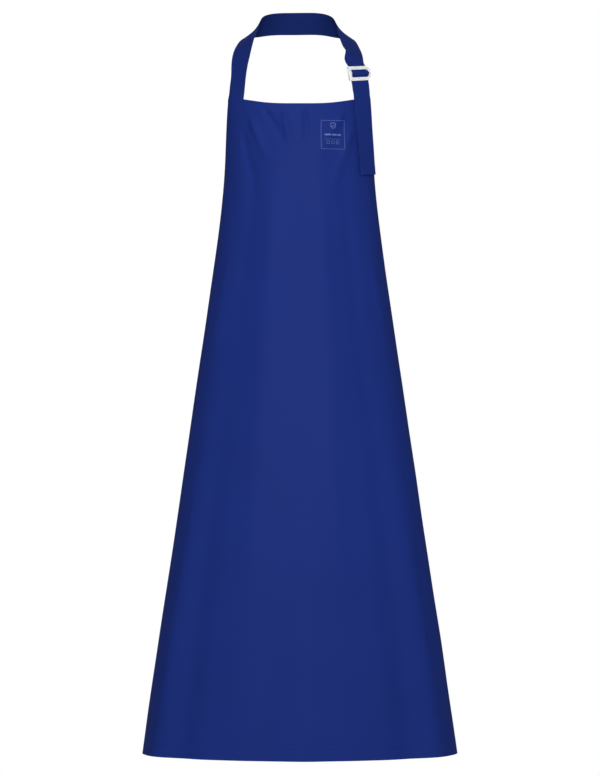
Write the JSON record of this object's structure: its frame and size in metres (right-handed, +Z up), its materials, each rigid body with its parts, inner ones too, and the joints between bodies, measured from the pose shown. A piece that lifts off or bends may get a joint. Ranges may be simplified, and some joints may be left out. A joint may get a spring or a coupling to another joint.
{
  "type": "work apron",
  "caption": "Long bib apron of smooth coated fabric, worn shape, with a neck strap adjusted through a white plastic slide buckle and ties bowed at the waist.",
  "frame": {"origin": "the point of the neck strap's inner face that rests on the middle of the nape", "axes": "+Z up, -Y towards the front of the apron, +X towards the wearer's left"},
  "size_m": [0.583, 0.2752, 1.3898],
  "materials": {
    "coated_fabric": "smooth coated face, satin",
    "hem_fabric": "smooth coated face, satin",
    "strap_fabric": "smooth coated face, satin",
    "tie_fabric": "smooth coated face, satin",
    "white_plastic": "moulded, slight gloss",
    "label_print": null
  },
  "bodies": {
    "neck_loop": {"neck_strap_nape": "strap_fabric", "neck_strap_riser_right": "strap_fabric", "neck_strap_riser_left": "strap_fabric"},
    "apron": {"apron_panel": "coated_fabric", "hem_top": "hem_fabric", "hem_bottom": "hem_fabric", "hem_left": "hem_fabric", "hem_right": "hem_fabric", "label": "label_print", "neck_strap_anchor": "strap_fabric", "buckle_tab_loop": "strap_fabric", "buckle_tab_anchor": "strap_fabric", "neck_strap_tail": "strap_fabric", "waist_tie_left": "tie_fabric", "waist_tie_right": "tie_fabric", "tie_knot": "tie_fabric", "bow_loop_left": "tie_fabric", "bow_loop_right": "tie_fabric"},
    "buckle": {"buckle_frame": "white_plastic", "neck_strap_bight": "strap_fabric"},
    "tail_tip": {"neck_strap_tip": "strap_fabric"},
    "tie_tail_left": {"tie_tail_left": "tie_fabric"},
    "tie_tail_right": {"tie_tail_right": "tie_fabric"}
  },
  "joints": [
    {"name": "apron_height", "type": "slide", "parent": "neck_loop", "child": "apron", "axis": [0, 0, -1], "range_m": [-0.03, 0.05], "deforming": ["neck_strap_riser_right", "neck_strap_riser_left"]},
    {"name": "buckle_tilt", "type": "hinge", "parent": "apron", "child": "buckle", "pos_m": [0.111, -0.1647, -0.111], "axis": [-0.7293, -0.6763, -0.1035], "range_deg": [0, 20]},
    {"name": "tail_run", "type": "slide", "parent": "apron", "child": "tail_tip", "axis": [-0.0618, -0.065, 0.996], "range_m": [-0.061, 0.101], "deforming": ["neck_strap_tail"]},
    {"name": "tie_tail_left_swing", "type": "hinge", "parent": "apron", "child": "tie_tail_left", "pos_m": [0.0095, 0.037, -0.6165], "axis": [0, 1, 0], "range_deg": [-22, 22]},
    {"name": "tie_tail_right_swing", "type": "hinge", "parent": "apron", "child": "tie_tail_right", "pos_m": [-0.0095, 0.033, -0.6165], "axis": [0, 1, 0], "range_deg": [-22, 22]}
  ],
  "couplings": [
    {"joint": "tail_run", "follows": "apron_height", "ratio": 2}
  ]
}
